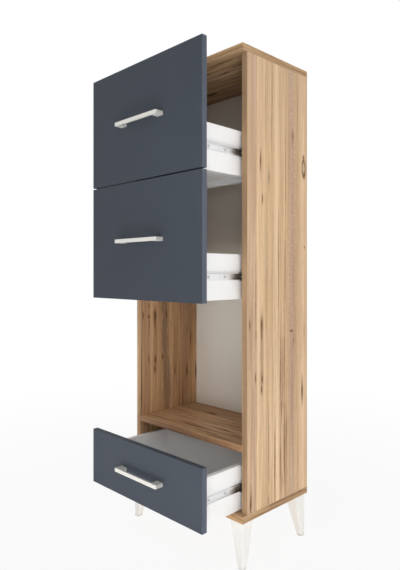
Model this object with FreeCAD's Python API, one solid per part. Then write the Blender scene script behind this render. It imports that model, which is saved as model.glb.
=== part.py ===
import FreeCAD, Part
import os

# Tall storage cabinet on four tapered legs: two deep-fronted drawers above an open niche
# and one low drawer under it. All lengths are in millimetres. X runs to the right when
# facing the fronts, Y runs from the fronts to the back, Z runs up from the floor.
# The drawers stand pulled out. The origin is on the floor, under the middle of the space
# that the cabinet takes with its drawers pulled out.

# Carcass
carcass_width = 450.0
carcass_height = 1205.0
side_depth = 263.0
board = 18.0
edge_round = 0.8
lower_bay_height = 153.0
back_panel_thickness = 3.0
back_panel_inset = 19.0
groove_depth = 6.0
groove_play = 0.2
shelf_back_gap = 0.3

# Legs
leg_height = 120.0
leg_top_size = 42.0
leg_foot_size = 16.5
leg_round = 3.5
leg_inset = 5.0
leg_bolt_radius = 4.0
leg_bolt_in_leg = 26.0
leg_bolt_in_board = 13.0

# Drawer fronts
front_thickness = 16.0
front_clearance = 1.0
front_round = 1.0
front_end_gap = 5.3
front_seam = 3.6
upper_front_height = 308.0
middle_front_height = 313.0
shelf_overlap = 5.3

# Drawer boxes
wall_thickness = 12.0
wall_height = 115.0
wall_length = 236.0
box_lift = 4.2
lower_box_gap = 2.0
drawer_bottom_thickness = 3.0
drawer_bottom_lift = 13.5
drawer_groove_depth = 5.0
drawer_pull = 143.0

# Handles
handle_length = 172.0
handle_projection = 24.0
handle_height = 10.0
handle_bar_thickness = 5.5
handle_leg_width = 22.0
handle_corner_round = 2.0
handle_edge_round = 0.7

# Ball-bearing slides, one pair to a drawer. A place or reach across the slide is counted
# from the side panel for the track and the cage, and from the drawer wall for the rail.
slide_space = 13.0
slide_length = 200.0
slide_setback = 2.0
slide_sheet = 1.2
slide_bend_share = 0.75
track_height = 27.0
track_reach = 11.3
track_lip = 1.4
rail_height = 16.0
rail_reach = 8.4
spare_hole_radius = 2.4
spare_hole_rim = 4.4
spare_hole_rim_height = 0.5
spare_hole_share = 0.64
spare_slot_width = 4.4
spare_slot_length = 10.0
spare_slot_from_end = 18.0
lower_slide_lift = 3.0
stop_lug_height = 6.0
stop_lug_reach = 3.0
stop_lug_thickness = 1.5
slide_first_hole = 32.0
slide_last_hole_from_end = 52.0
screws_per_slide = 3
cage_length = 110.0
cage_sheet = 0.6
cage_place = 3.4
cage_reach = 6.2
cage_end_gap = 8.0
ball_radius = 1.85
ball_hole_play = 0.2
ball_place = 6.9
balls_per_row = 5
ball_end_inset = 12.0

# Fasteners
fit_gap = 0.1
overrun = 1.0
recess_width = 0.9
recess_span_share = 0.62
recess_depth_share = 0.5
dowel_radius = 4.0
dowel_in_face = 11.0
dowel_in_end = 19.0
dowel_chamfer = 0.8
dowel_from_cam = 32.0
carcass_cam_inset = 50.0
slide_screw_radius = 1.75
slide_screw_length = 10.0
slide_screw_head_radius = 3.4
slide_screw_head_height = 1.6
wall_screw_radius = 2.5
wall_screw_length = 34.0
wall_screw_head_radius = 3.8
wall_screw_head_height = 3.0
wall_screw_inset = 24.0
handle_screw_radius = 2.0
handle_screw_in_handle = 9.0
handle_screw_head_radius = 4.0
handle_screw_head_height = 2.4
drawer_cam_spread = 27.0
parallel_share = 0.001


class CamSize:
    """Sizes of one kind of cam fitting: a round lock, and the bolt that it draws in."""

    def __init__(self, radius, depth, setback, drive_depth, bolt_radius, head_radius, head_length, thread):
        self.radius = radius
        self.depth = depth
        self.setback = setback
        self.drive_depth = drive_depth
        self.bolt_radius = bolt_radius
        self.head_radius = head_radius
        self.head_length = head_length
        self.thread = thread


carcass_cam = CamSize(radius=7.5, depth=12.5, setback=34.0, drive_depth=3.0,
                      bolt_radius=3.0, head_radius=3.5, head_length=3.0, thread=11.0)
drawer_cam = CamSize(radius=6.0, depth=9.5, setback=24.0, drive_depth=2.0,
                     bolt_radius=2.0, head_radius=2.5, head_length=2.5, thread=10.0)

X = FreeCAD.Vector(1, 0, 0)
Y = FreeCAD.Vector(0, 1, 0)
Z = FreeCAD.Vector(0, 0, 1)

# Places from front to back
open_reach = drawer_pull + front_clearance + front_thickness + handle_projection
side_front_y = open_reach - (open_reach + side_depth) / 2
side_rear_y = side_front_y + side_depth
board_front_y = side_front_y - front_clearance - front_thickness
back_panel_rear_y = side_rear_y - back_panel_inset
back_panel_front_y = back_panel_rear_y - back_panel_thickness
front_back_y = side_front_y - front_clearance - drawer_pull
wall_rear_y = front_back_y + wall_length
track_front_y = side_front_y + slide_setback
rail_front_y = front_back_y + front_clearance + slide_setback
cage_front_y = track_front_y + slide_length - cage_end_gap - cage_length - drawer_pull / 2
cam_ys = (side_front_y + carcass_cam_inset, back_panel_front_y - carcass_cam_inset)
dowel_ys = (cam_ys[0] + dowel_from_cam, cam_ys[1] - dowel_from_cam)

# Places from the middle to the side
half_width = carcass_width / 2
inner_half = half_width - board
wall_outer_x = inner_half - slide_space
wall_inner_x = wall_outer_x - wall_thickness

# Places from the floor up
bay_z = leg_height + board
shelf_z = bay_z + lower_bay_height
niche_z = shelf_z + board
carcass_top_z = leg_height + carcass_height
ceiling_z = carcass_top_z - board
upper_front_z = ceiling_z - front_end_gap - upper_front_height
middle_front_z = upper_front_z - front_seam - middle_front_height
lower_front_z = bay_z + front_end_gap
lower_front_height = shelf_z + shelf_overlap - lower_front_z

# Each drawer: its front's lower edge, its front's height and its walls' lower edge
drawers = {
    "upper": (upper_front_z, upper_front_height, upper_front_z + box_lift),
    "middle": (middle_front_z, middle_front_height, middle_front_z + box_lift),
    "lower": (lower_front_z, lower_front_height, bay_z + lower_box_gap),
}
sides = {"left": -1, "right": 1}

# How far each drawer's slides stand above the middle of its walls
slide_lifts = {"upper": 0.0, "middle": 0.0, "lower": lower_slide_lift}
slide_hole_pitch = (slide_length - slide_first_hole - slide_last_hole_from_end) / (screws_per_slide - 1)
slide_holes = [slide_first_hole + turn * slide_hole_pitch for turn in range(screws_per_slide)]
ball_row_height = (rail_height / 2 + track_height / 2 - slide_sheet) / 2

nodes = {}
cuts = {}


def point(x, y, z):
    return FreeCAD.Vector(x, y, z)


def block(x_ends, y_ends, z_ends):
    """Rectangular solid between two ends on each axis, given in either order."""
    lows = [min(ends) for ends in (x_ends, y_ends, z_ends)]
    sizes = [max(ends) - min(ends) for ends in (x_ends, y_ends, z_ends)]
    return Part.makeBox(*sizes, point(*lows))


def rod(radius, start, end):
    """Round bar between two points."""
    along = end - start
    return Part.makeCylinder(radius, along.Length, start, along)


def aim(solid, place, outward):
    """Turns a solid built up the Z axis to point outward from a place."""
    turned = solid.copy()
    turned.Placement = FreeCAD.Placement(place, FreeCAD.Rotation(Z, outward))
    return turned


def drill(node, tool):
    """Notes a hole or groove to be cut in a node."""
    cuts.setdefault(node, []).append(tool)


def keep(node, solids):
    """Stores a node's solids under its name, with no cuts made yet."""
    nodes[node] = solids


def edges_along(solid, axis):
    """Straight edges of a solid that run along an axis."""
    found = []
    for edge in solid.Edges:
        if len(edge.Vertexes) == 2:
            run = edge.Vertexes[1].Point - edge.Vertexes[0].Point
            if run.cross(axis).Length < edge.Length * parallel_share:
                found.append(edge)
    return found


def cross_recess(radius, top, depth):
    """Cross-shaped driver recess that goes down from the top of a round head."""
    arm = radius * recess_span_share
    half = recess_width / 2
    z_ends = (top - depth, top + overrun)
    return block((-arm, arm), (-half, half), z_ends).fuse(block((-half, half), (-arm, arm), z_ends))


def screw(place, outward, radius, length, head_radius, head_height):
    """Screw whose head stands on a place, with its shank running the other way."""
    head = rod(head_radius, point(0, 0, 0), Z * head_height)
    shank = rod(radius, Z * -length, Z * (head_height / 2))
    solid = head.fuse(shank).removeSplitter()
    recess = cross_recess(head_radius, head_height, head_height * recess_depth_share)
    return aim(solid.cut(recess), place, outward)


def dowel(joint, inward, end_board, face_board):
    """Dowel across a joint: inward runs into the board whose end meets the other's face."""
    deep_end = joint + inward * dowel_in_end
    shallow_end = joint - inward * dowel_in_face
    peg = rod(dowel_radius, deep_end, shallow_end)
    rims = [edge for edge in peg.Edges if len(edge.Vertexes) == 1]
    hole_radius = dowel_radius + fit_gap
    drill(end_board, rod(hole_radius, deep_end + inward * fit_gap, joint - inward * overrun))
    drill(face_board, rod(hole_radius, shallow_end - inward * fit_gap, joint + inward * overrun))
    return peg.makeChamfer(dowel_chamfer, rims)


def cam_fitting(size, joint, inward, lock_out, lock_board_thickness, lock_board, bolt_board):
    """Cam lock and bolt across a joint: inward runs into the board that holds the lock."""
    centre = joint + inward * size.setback
    lock_face = centre + lock_out * (lock_board_thickness / 2)
    lock_floor = lock_face - lock_out * size.depth
    head_end = centre + inward * (size.head_length / 2)
    thread_end = joint - inward * size.thread
    bore_radius = size.bolt_radius + fit_gap

    lock = rod(size.radius, lock_floor, lock_face)
    lock = lock.cut(rod(size.head_radius + fit_gap, joint, head_end + inward * fit_gap))
    lock = lock.cut(aim(cross_recess(size.radius, size.depth, size.drive_depth), lock_floor, lock_out))
    bolt = rod(size.bolt_radius, head_end, thread_end)
    bolt = bolt.fuse(rod(size.head_radius, head_end, head_end - inward * size.head_length)).removeSplitter()

    drill(lock_board, rod(size.radius + fit_gap, lock_floor - lock_out * fit_gap, lock_face + lock_out * overrun))
    drill(lock_board, rod(bore_radius, centre, joint - inward * overrun))
    drill(bolt_board, rod(bore_radius, thread_end - inward * fit_gap, joint + inward * overrun))
    return [lock, bolt]


def make_side_panels():
    groove_ys = (back_panel_front_y - groove_play, back_panel_rear_y + groove_play)
    for side, sign in sides.items():
        node = "side_panel_" + side
        solid = block((sign * inner_half, sign * half_width), (side_front_y, side_rear_y), (bay_z, ceiling_z))
        keep(node, [solid.makeFillet(edge_round, edges_along(solid, Z))])
        groove_xs = (sign * (inner_half - overrun), sign * (inner_half + groove_depth))
        drill(node, block(groove_xs, groove_ys, (bay_z - overrun, ceiling_z + overrun)))


def make_cross_boards():
    """Top and bottom boards, which run over the side panels and out to the closed fronts."""
    groove_half = inner_half + groove_depth
    groove_ys = (back_panel_front_y - groove_play, back_panel_rear_y + groove_play)
    places = {
        "top_board": ((ceiling_z, carcass_top_z), (ceiling_z - overrun, ceiling_z + groove_depth)),
        "bottom_board": ((leg_height, bay_z), (bay_z - groove_depth, bay_z + overrun)),
    }
    for node, (board_zs, groove_zs) in places.items():
        solid = block((-half_width, half_width), (board_front_y, side_rear_y), board_zs)
        keep(node, [solid.makeFillet(edge_round, solid.Edges)])
        drill(node, block((-groove_half, groove_half), groove_ys, groove_zs))


def make_niche_shelf():
    shelf_rear_y = back_panel_front_y - shelf_back_gap
    solid = block((-inner_half, inner_half), (side_front_y, shelf_rear_y), (shelf_z, niche_z))
    front_edges = [edge for edge in edges_along(solid, X) if edge.CenterOfMass.y < shelf_rear_y - board]
    keep("niche_shelf", [solid.makeFillet(edge_round, front_edges)])


def make_back_panel():
    panel_half = inner_half + groove_depth - groove_play
    panel_zs = (bay_z - groove_depth, ceiling_z + groove_depth - groove_play)
    keep("back_panel", [block((-panel_half, panel_half), (back_panel_front_y, back_panel_rear_y), panel_zs)])


def make_carcass_fittings():
    """Dowels and cam fittings between the side panels and the three boards they carry."""
    dowels = []
    fittings = []
    for side, sign in sides.items():
        panel = "side_panel_" + side
        panel_middle = sign * (inner_half + board / 2)
        shelf_middle = shelf_z + board / 2
        inward_x = X * -sign
        for place_y in dowel_ys:
            dowels.append(dowel(point(panel_middle, place_y, ceiling_z), -Z, panel, "top_board"))
            dowels.append(dowel(point(panel_middle, place_y, bay_z), Z, panel, "bottom_board"))
            dowels.append(dowel(point(sign * inner_half, place_y, shelf_middle), inward_x, "niche_shelf", panel))
        for place_y in cam_ys:
            top_joint = point(panel_middle, place_y, ceiling_z)
            bottom_joint = point(panel_middle, place_y, bay_z)
            shelf_joint = point(sign * inner_half, place_y, shelf_middle)
            fittings += cam_fitting(carcass_cam, top_joint, -Z, inward_x, board, panel, "top_board")
            fittings += cam_fitting(carcass_cam, bottom_joint, Z, inward_x, board, panel, "bottom_board")
            fittings += cam_fitting(carcass_cam, shelf_joint, inward_x, -Z, board, "niche_shelf", panel)
    keep("carcass_dowels", dowels)
    keep("carcass_cam_fittings", fittings)


def square_outline(corner_x, corner_y, into_x, into_y, size, height):
    """Square at a height with one corner given and the others towards into_x and into_y."""
    far_x = corner_x + into_x * size
    far_y = corner_y + into_y * size
    corners = [(corner_x, corner_y), (far_x, corner_y), (far_x, far_y), (corner_x, far_y), (corner_x, corner_y)]
    return Part.makePolygon([point(x, y, height) for x, y in corners])


def make_legs():
    """Legs with upright outer faces and slanted inner ones, each on one bolt."""
    ends = {"front": (board_front_y + leg_inset, 1), "rear": (side_rear_y - leg_inset, -1)}
    bolts = []
    for end, (corner_y, into_y) in ends.items():
        for side, sign in sides.items():
            node = "leg_" + end + "_" + side
            corner_x = sign * (half_width - leg_inset)
            foot = square_outline(corner_x, corner_y, -sign, into_y, leg_foot_size, 0)
            top = square_outline(corner_x, corner_y, -sign, into_y, leg_top_size, leg_height)
            solid = Part.makeLoft([foot, top], True, True)
            uprights = [edge for edge in solid.Edges if edge.BoundBox.ZLength > leg_height / 2]
            keep(node, [solid.makeFillet(leg_round, uprights)])

            bolt_foot = point(corner_x - sign * leg_top_size / 2, corner_y + into_y * leg_top_size / 2,
                              leg_height - leg_bolt_in_leg)
            bolt_head = bolt_foot + Z * (leg_bolt_in_leg + leg_bolt_in_board)
            bolts.append(rod(leg_bolt_radius, bolt_foot, bolt_head))
            hole = rod(leg_bolt_radius + fit_gap, bolt_foot - Z * fit_gap, bolt_head + Z * fit_gap)
            drill(node, hole)
            drill("bottom_board", hole)
    keep("leg_bolts", bolts)


def channel(base_x, into_x, reach, height, lip, sheet, front_y, length, middle_z):
    """Folded sheet channel along Y: its web stands at base_x and its flanges run into_x."""
    half = height / 2
    y_ends = (front_y, front_y + length)
    cut_ys = (front_y - overrun, front_y + length + overrun)
    inside = half - sheet
    mouth = inside - lip
    lip_place = reach - sheet if lip else reach + overrun
    solid = block((base_x, base_x + into_x * reach), y_ends, (middle_z - half, middle_z + half))
    hollow_xs = (base_x + into_x * sheet, base_x + into_x * lip_place)
    solid = solid.cut(block(hollow_xs, cut_ys, (middle_z - inside, middle_z + inside)))
    mouth_xs = (base_x + into_x * sheet, base_x + into_x * (reach + overrun))
    solid = solid.cut(block(mouth_xs, cut_ys, (middle_z - mouth, middle_z + mouth)))
    bends = []
    for edge in edges_along(solid, Y):
        if abs(edge.CenterOfMass.z - middle_z) > half - sheet / 2:
            bends.append(edge)
    return solid.makeFillet(sheet * slide_bend_share, bends)


def slide_middle(drawer, wall_z):
    """Height of the middle of a drawer's slides."""
    return wall_z + wall_height / 2 + slide_lifts[drawer]


def make_tracks():
    """Outer slide members, screwed inside the side panels."""
    screws = []
    for drawer, (front_z, front_height, wall_z) in drawers.items():
        middle_z = slide_middle(drawer, wall_z)
        for side, sign in sides.items():
            node = drawer + "_track_" + side
            base_x = sign * inner_half
            solid = channel(base_x, -sign, track_reach, track_height, track_lip, slide_sheet,
                            track_front_y, slide_length, middle_z)
            lug_xs = (base_x - sign * slide_sheet / 2, base_x - sign * (slide_sheet + stop_lug_reach))
            lug_zs = (middle_z - stop_lug_height / 2, middle_z + stop_lug_height / 2)
            rear_y = track_front_y + slide_length
            solid = solid.fuse(block(lug_xs, (track_front_y, track_front_y + stop_lug_thickness), lug_zs))
            solid = solid.fuse(block(lug_xs, (rear_y - stop_lug_thickness, rear_y), lug_zs))
            keep(node, [solid.removeSplitter()])
            for offset in slide_holes:
                seat = point(base_x - sign * slide_sheet, track_front_y + offset, middle_z)
                screws.append(slide_screw(seat, X * -sign, node, "side_panel_" + side))
    keep("track_screws", screws)


def slide_screw(seat, outward, slide_node, board_node):
    """Screw that holds a slide member on a board, with its holes in both."""
    tip = seat - outward * (slide_screw_length + fit_gap)
    hole = rod(slide_screw_radius + fit_gap, tip, seat + outward * overrun)
    drill(slide_node, hole)
    drill(board_node, hole)
    return screw(seat, outward, slide_screw_radius, slide_screw_length,
                 slide_screw_head_radius, slide_screw_head_height)


def make_rails(drawer, wall_z):
    """Inner slide members on the drawer walls, with their screws and spare holes."""
    middle_z = slide_middle(drawer, wall_z)
    screws = []
    for side, sign in sides.items():
        node = drawer + "_rail_" + side
        wall = drawer + "_wall_" + side
        base_x = sign * wall_outer_x
        solid = channel(base_x, sign, rail_reach, rail_height, 0, slide_sheet,
                        rail_front_y, slide_length, middle_z)
        face_x = base_x + sign * slide_sheet
        hole_y = rail_front_y + slide_first_hole + spare_hole_share * slide_hole_pitch
        rim_foot = point(base_x + sign * slide_sheet / 2, hole_y, middle_z)
        rim_top = point(face_x + sign * spare_hole_rim_height, hole_y, middle_z)
        solid = solid.fuse(rod(spare_hole_rim, rim_foot, rim_top)).removeSplitter()
        keep(node, [solid])
        drill(node, rod(spare_hole_radius, rim_foot - X * (sign * slide_sheet), rim_top + X * (sign * overrun)))
        slot_y = rail_front_y + slide_length - spare_slot_from_end
        slot_half = (spare_slot_length - spare_slot_width) / 2
        slot_xs = (base_x - sign * overrun, face_x + sign * overrun)
        slot_zs = (middle_z - spare_slot_width / 2, middle_z + spare_slot_width / 2)
        drill(node, block(slot_xs, (slot_y - slot_half, slot_y + slot_half), slot_zs))
        for end_y in (slot_y - slot_half, slot_y + slot_half):
            drill(node, rod(spare_slot_width / 2, point(slot_xs[0], end_y, middle_z), point(slot_xs[1], end_y, middle_z)))
        for offset in slide_holes:
            seat = point(face_x, rail_front_y + offset, middle_z)
            screws.append(slide_screw(seat, X * sign, node, wall))
    keep(drawer + "_rail_screws", screws)


def make_ball_cages(drawer, wall_z):
    """Two cages that run between the tracks and the rails, each with two rows of balls."""
    middle_z = slide_middle(drawer, wall_z)
    solids = []
    first_y = cage_front_y + ball_end_inset
    spacing = (cage_length - ball_end_inset - ball_end_inset) / (balls_per_row - 1)
    for sign in sides.values():
        cage = channel(sign * (inner_half - cage_place), -sign, cage_reach,
                       ball_row_height + ball_row_height + cage_sheet, 0, cage_sheet,
                       cage_front_y, cage_length, middle_z)
        holes = []
        ball_x = sign * (inner_half - ball_place)
        for turn in range(balls_per_row):
            for row in (-ball_row_height, ball_row_height):
                centre = point(ball_x, first_y + turn * spacing, middle_z + row)
                holes.append(rod(ball_radius + ball_hole_play, centre - Z * ball_radius, centre + Z * ball_radius))
                solids.append(Part.makeSphere(ball_radius, centre))
        solids.append(cage.cut(holes))
    keep(drawer + "_ball_cages", solids)


def make_front(drawer, front_z, front_height):
    node = drawer + "_front"
    solid = block((-half_width, half_width), (front_back_y - front_thickness, front_back_y),
                  (front_z, front_z + front_height))
    keep(node, [solid.makeFillet(front_round, solid.Edges)])


def make_walls(drawer, wall_z):
    """Side and rear walls of a drawer box, with the cam fittings and screws that join them."""
    wall_zs = (wall_z, wall_z + wall_height)
    rear = drawer + "_wall_rear"
    rear_solid = block((-wall_inner_x, wall_inner_x), (wall_rear_y - wall_thickness, wall_rear_y), wall_zs)
    keep(rear, [rear_solid])
    screws = []
    fittings = []
    for side, sign in sides.items():
        node = drawer + "_wall_" + side
        keep(node, [block((sign * wall_inner_x, sign * wall_outer_x), (front_back_y, wall_rear_y), wall_zs)])
        for screw_z in (wall_z + wall_screw_inset, wall_z + wall_height - wall_screw_inset):
            seat = point(sign * (wall_outer_x - wall_screw_head_height), wall_rear_y - wall_thickness / 2, screw_z)
            screws.append(screw(seat, X * sign, wall_screw_radius, wall_screw_length,
                                wall_screw_head_radius, wall_screw_head_height))
            tip = seat - X * (sign * (wall_screw_length + fit_gap))
            shank_hole = rod(wall_screw_radius + fit_gap, tip, seat + X * (sign * overrun))
            drill(rear, shank_hole)
            drill(node, shank_hole)
            head_top = seat + X * (sign * (wall_screw_head_height + overrun))
            drill(node, rod(wall_screw_head_radius + fit_gap, seat, head_top))
        for spread in (-drawer_cam_spread, drawer_cam_spread):
            joint = point(sign * (wall_outer_x - wall_thickness / 2), front_back_y, wall_z + wall_height / 2 + spread)
            fittings += cam_fitting(drawer_cam, joint, Y, X * -sign, wall_thickness, node, drawer + "_front")
    keep(drawer + "_wall_screws", screws)
    keep(drawer + "_cam_fittings", fittings)


def make_drawer_bottom(drawer, wall_z):
    """Bottom panel, held in grooves of the front and of the three walls."""
    groove_half = wall_inner_x + drawer_groove_depth
    groove_ys = (front_back_y - drawer_groove_depth, wall_rear_y - wall_thickness + drawer_groove_depth)
    bottom_z = wall_z + drawer_bottom_lift
    top_z = bottom_z + drawer_bottom_thickness
    panel_half = groove_half - groove_play
    keep(drawer + "_bottom", [block((-panel_half, panel_half),
                                    (groove_ys[0] + groove_play, groove_ys[1] - groove_play),
                                    (bottom_z, top_z))])
    groove_zs = (bottom_z, top_z + groove_play)
    full_ys = (groove_ys[0], wall_rear_y + overrun)
    for side, sign in sides.items():
        groove_xs = (sign * (wall_inner_x - overrun), sign * groove_half)
        drill(drawer + "_wall_" + side, block(groove_xs, full_ys, groove_zs))
    drill(drawer + "_wall_rear", block((-groove_half, groove_half), groove_ys, groove_zs))
    drill(drawer + "_front", block((-groove_half, groove_half), groove_ys, groove_zs))


def make_handle(drawer, front_z, front_height):
    """Bow handle in the middle of a front: a flat bar on two wide legs, screwed from behind."""
    node = drawer + "_handle"
    front_y = front_back_y - front_thickness
    middle_z = front_z + front_height / 2
    half = handle_length / 2
    z_ends = (middle_z - handle_height / 2, middle_z + handle_height / 2)
    solid = block((-half, half), (front_y - handle_projection, front_y), z_ends)
    grip_half = half - handle_leg_width
    grip_ys = (front_y - handle_projection + handle_bar_thickness, front_y + overrun)
    solid = solid.cut(block((-grip_half, grip_half), grip_ys, (z_ends[0] - overrun, z_ends[1] + overrun)))
    corners = []
    for edge in edges_along(solid, Z):
        if edge.CenterOfMass.y < front_y - handle_projection + handle_bar_thickness / 2:
            corners.append(edge)
    solid = solid.makeFillet(handle_corner_round, corners)
    rims = []
    for edge in solid.Edges:
        level = edge.BoundBox.ZLength < handle_height / 2
        if level and edge.CenterOfMass.y < front_y - handle_edge_round:
            rims.append(edge)
    keep(node, [solid.makeFillet(handle_edge_round, rims)])

    screws = []
    length = front_thickness + handle_screw_in_handle
    for sign in sides.values():
        seat = point(sign * (half - handle_leg_width / 2), front_back_y, middle_z)
        screws.append(screw(seat, Y, handle_screw_radius, length, handle_screw_head_radius, handle_screw_head_height))
        hole = rod(handle_screw_radius + fit_gap, seat - Y * (length + fit_gap), seat + Y * overrun)
        drill(node, hole)
        drill(drawer + "_front", hole)
    keep(drawer + "_handle_screws", screws)


def make_drawers():
    for drawer, (front_z, front_height, wall_z) in drawers.items():
        make_front(drawer, front_z, front_height)
        make_walls(drawer, wall_z)
        make_drawer_bottom(drawer, wall_z)
        make_handle(drawer, front_z, front_height)
        make_rails(drawer, wall_z)
        make_ball_cages(drawer, wall_z)


def write_nodes():
    """Makes the noted cuts and writes each node to a file of its own."""
    os.makedirs("parts", exist_ok=True)
    for node, solids in nodes.items():
        if node in cuts:
            solids = [solid.cut(cuts[node]) for solid in solids]
        whole = solids[0] if len(solids) == 1 else Part.makeCompound(solids)
        whole.exportStep("parts/" + node + ".step")
        count = len(whole.Solids)
        print(node, count, "solids", round(whole.Volume), "cubic mm", "valid" if whole.isValid() else "NOT VALID")


make_side_panels()
make_cross_boards()
make_niche_shelf()
make_back_panel()
make_carcass_fittings()
make_legs()
make_tracks()
make_drawers()
write_nodes()
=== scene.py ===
import math

import bpy
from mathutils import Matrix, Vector

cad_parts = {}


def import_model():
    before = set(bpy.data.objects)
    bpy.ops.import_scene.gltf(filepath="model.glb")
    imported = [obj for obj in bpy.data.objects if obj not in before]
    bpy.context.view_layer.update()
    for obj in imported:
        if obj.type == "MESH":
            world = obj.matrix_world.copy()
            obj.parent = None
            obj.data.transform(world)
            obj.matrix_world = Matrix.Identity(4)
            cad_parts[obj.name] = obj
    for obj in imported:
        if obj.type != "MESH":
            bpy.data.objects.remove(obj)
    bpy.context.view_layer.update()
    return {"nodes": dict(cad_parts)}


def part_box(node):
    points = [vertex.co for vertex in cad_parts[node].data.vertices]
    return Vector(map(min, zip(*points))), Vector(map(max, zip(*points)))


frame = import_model()
nodes = frame["nodes"]

# Everything is in metres, in the row frame: X to the right, Y from the fronts to the back, Z up.
# These are the axes' places in a vector.
X, Y, Z = 0, 1, 2

# Camera, which looks level
camera_place = (1.0999, -1.0659, 0.7471)
camera_turn = math.radians(45.506)
camera_level = math.radians(90.0)
camera_lens = 33.704
camera_rise = -0.0201

# Colours, linear
oak_light = (0.790, 0.580, 0.370)
oak_gold = (0.705, 0.495, 0.290)
oak_plain = (0.615, 0.418, 0.240)
oak_mauve = (0.589, 0.410, 0.275)
oak_red = (0.400, 0.235, 0.135)
oak_smoke = (0.300, 0.205, 0.140)
oak_brown = (0.270, 0.145, 0.072)
oak_core = (0.110, 0.055, 0.028)
chip_light = (0.520, 0.380, 0.235)
chip_dark = (0.240, 0.145, 0.075)
anthracite = (0.064, 0.074, 0.092)
white_sheet = (0.900, 0.896, 0.892)
back_sheet = (0.830, 0.795, 0.715)
fibre_brown = (0.250, 0.150, 0.080)
satin_metal = (0.780, 0.762, 0.712)
bright_zinc = (0.900, 0.903, 0.905)
dull_zinc = (0.720, 0.715, 0.690)
# Very dark steel for the ball cages
dark_cage_steel = (0.110, 0.110, 0.115)
# Painted shade on the rails: a dark brown for where they run into the carcass
rail_painted_shade = (0.110, 0.088, 0.066)
leg_white = (0.895, 0.880, 0.848)
beech = (0.600, 0.400, 0.215)
floor_pale = (0.800, 0.800, 0.795)

# The oak pattern. A band is a place behind the side panels' front edges and a tone.
# A mark is a place across the grain, from and to along it, and half its width.
# A wash is a tone, how strongly it is laid on, and the marks that it covers.
# Across the grain is Y; along it is Z on the side panels and X on the other boards.
panel_low, panel_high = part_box("side_panel_right")
panel_front = panel_low.y
panel_depth = panel_high.y - panel_front
upright_bands = (
    (0.000, oak_plain), (0.004, oak_mauve), (0.012, oak_plain), (0.016, oak_mauve),
    (0.031, oak_mauve), (0.036, oak_plain), (0.041, oak_light), (0.055, oak_gold),
    (0.070, oak_gold), (0.078, oak_plain), (0.086, oak_gold), (0.098, oak_plain),
    (0.106, oak_gold), (0.121, oak_light), (0.131, oak_gold), (0.142, oak_plain),
    (0.156, oak_gold), (0.164, oak_plain), (0.173, oak_plain), (0.177, oak_mauve),
    (0.201, oak_mauve), (0.206, oak_plain), (0.216, oak_plain), (0.228, oak_gold),
    (0.246, oak_light), (0.254, oak_gold), (0.263, oak_plain),
)
upright_cracks = (
    (0.0134, 1.020, 1.057, 0.0024), (0.1551, 1.116, 1.136, 0.0018), (0.0216, 0.930, 0.954, 0.0018),
    (0.0183, 0.592, 0.634, 0.0042), (0.0178, 0.575, 0.600, 0.0024), (0.0193, 0.460, 0.486, 0.0030),
    (0.0175, 0.434, 0.458, 0.0024), (-0.0072, 0.466, 0.490, 0.0018), (0.1990, 0.393, 0.440, 0.0034),
    (-0.0262, 0.138, 0.186, 0.0030), (0.2085, 0.818, 0.825, 0.0018), (-0.0290, 0.603, 0.629, 0.0016),
)
right_lines = (
    (0.2065, 1.070, 1.082, 0.0030), (0.2080, 1.018, 1.030, 0.0034),
    (0.0730, 0.144, 0.336, 0.0017), (0.0985, 0.400, 0.560, 0.0014), (0.1170, 0.410, 0.600, 0.0013),
    (0.1030, 0.350, 0.410, 0.0014), (0.1165, 0.150, 0.400, 0.0013), (0.1269, 0.278, 0.360, 0.0012),
    (0.0880, 0.620, 0.900, 0.0009),
    (0.0610, 1.060, 1.270, 0.0011), (0.1200, 0.900, 1.150, 0.0009), (0.0980, 0.180, 0.330, 0.0011),
    (0.1480, 0.586, 0.592, 0.0060), (-0.0060, 0.600, 0.760, 0.0010), (0.0450, 0.180, 0.420, 0.0009),
)
left_dots = (
    (-0.0060, 0.606, 0.618, 0.0032), (-0.0060, 0.640, 0.651, 0.0022), (0.0487, 0.472, 0.489, 0.0024),
    (0.0665, 0.600, 0.632, 0.0020), (0.1573, 0.407, 0.441, 0.0026), (0.1735, 0.500, 0.557, 0.0018),
    (0.1993, 0.588, 0.644, 0.0022), (0.1034, 0.413, 0.447, 0.0016), (0.1391, 0.300, 0.392, 0.0014),
)
right_washes = (
    (oak_light, 0.75, (
        (0.0300, 0.350, 0.660, 0.0075), (0.0050, 0.380, 0.760, 0.0070), (0.0800, 0.600, 1.290, 0.0085),
        (0.2050, 0.120, 0.560, 0.0120), (0.0560, 0.140, 0.600, 0.0060), (0.0880, 0.120, 0.300, 0.0060),
    )),
    (oak_red, 1.00, (
        (0.0183, 0.425, 0.640, 0.0075), (0.1080, 0.360, 0.590, 0.0075), (0.1190, 0.130, 0.400, 0.0090),
        (0.1010, 0.130, 0.300, 0.0045), (0.0134, 0.990, 1.080, 0.0034), (0.1990, 0.370, 0.470, 0.0050),
        (-0.0262, 0.120, 0.215, 0.0050), (0.1520, 1.090, 1.150, 0.0060), (0.1180, 0.640, 0.880, 0.0040),
    )),
    (oak_brown, 0.34, (
        (-0.0240, 0.480, 0.720, 0.0080), (-0.0180, 0.240, 0.470, 0.0100), (0.1520, 0.150, 0.600, 0.0080),
        (0.1530, 0.640, 1.120, 0.0060), (0.0330, 1.100, 1.290, 0.0030), (-0.0100, 0.820, 1.150, 0.0040),
    )),
)
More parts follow.
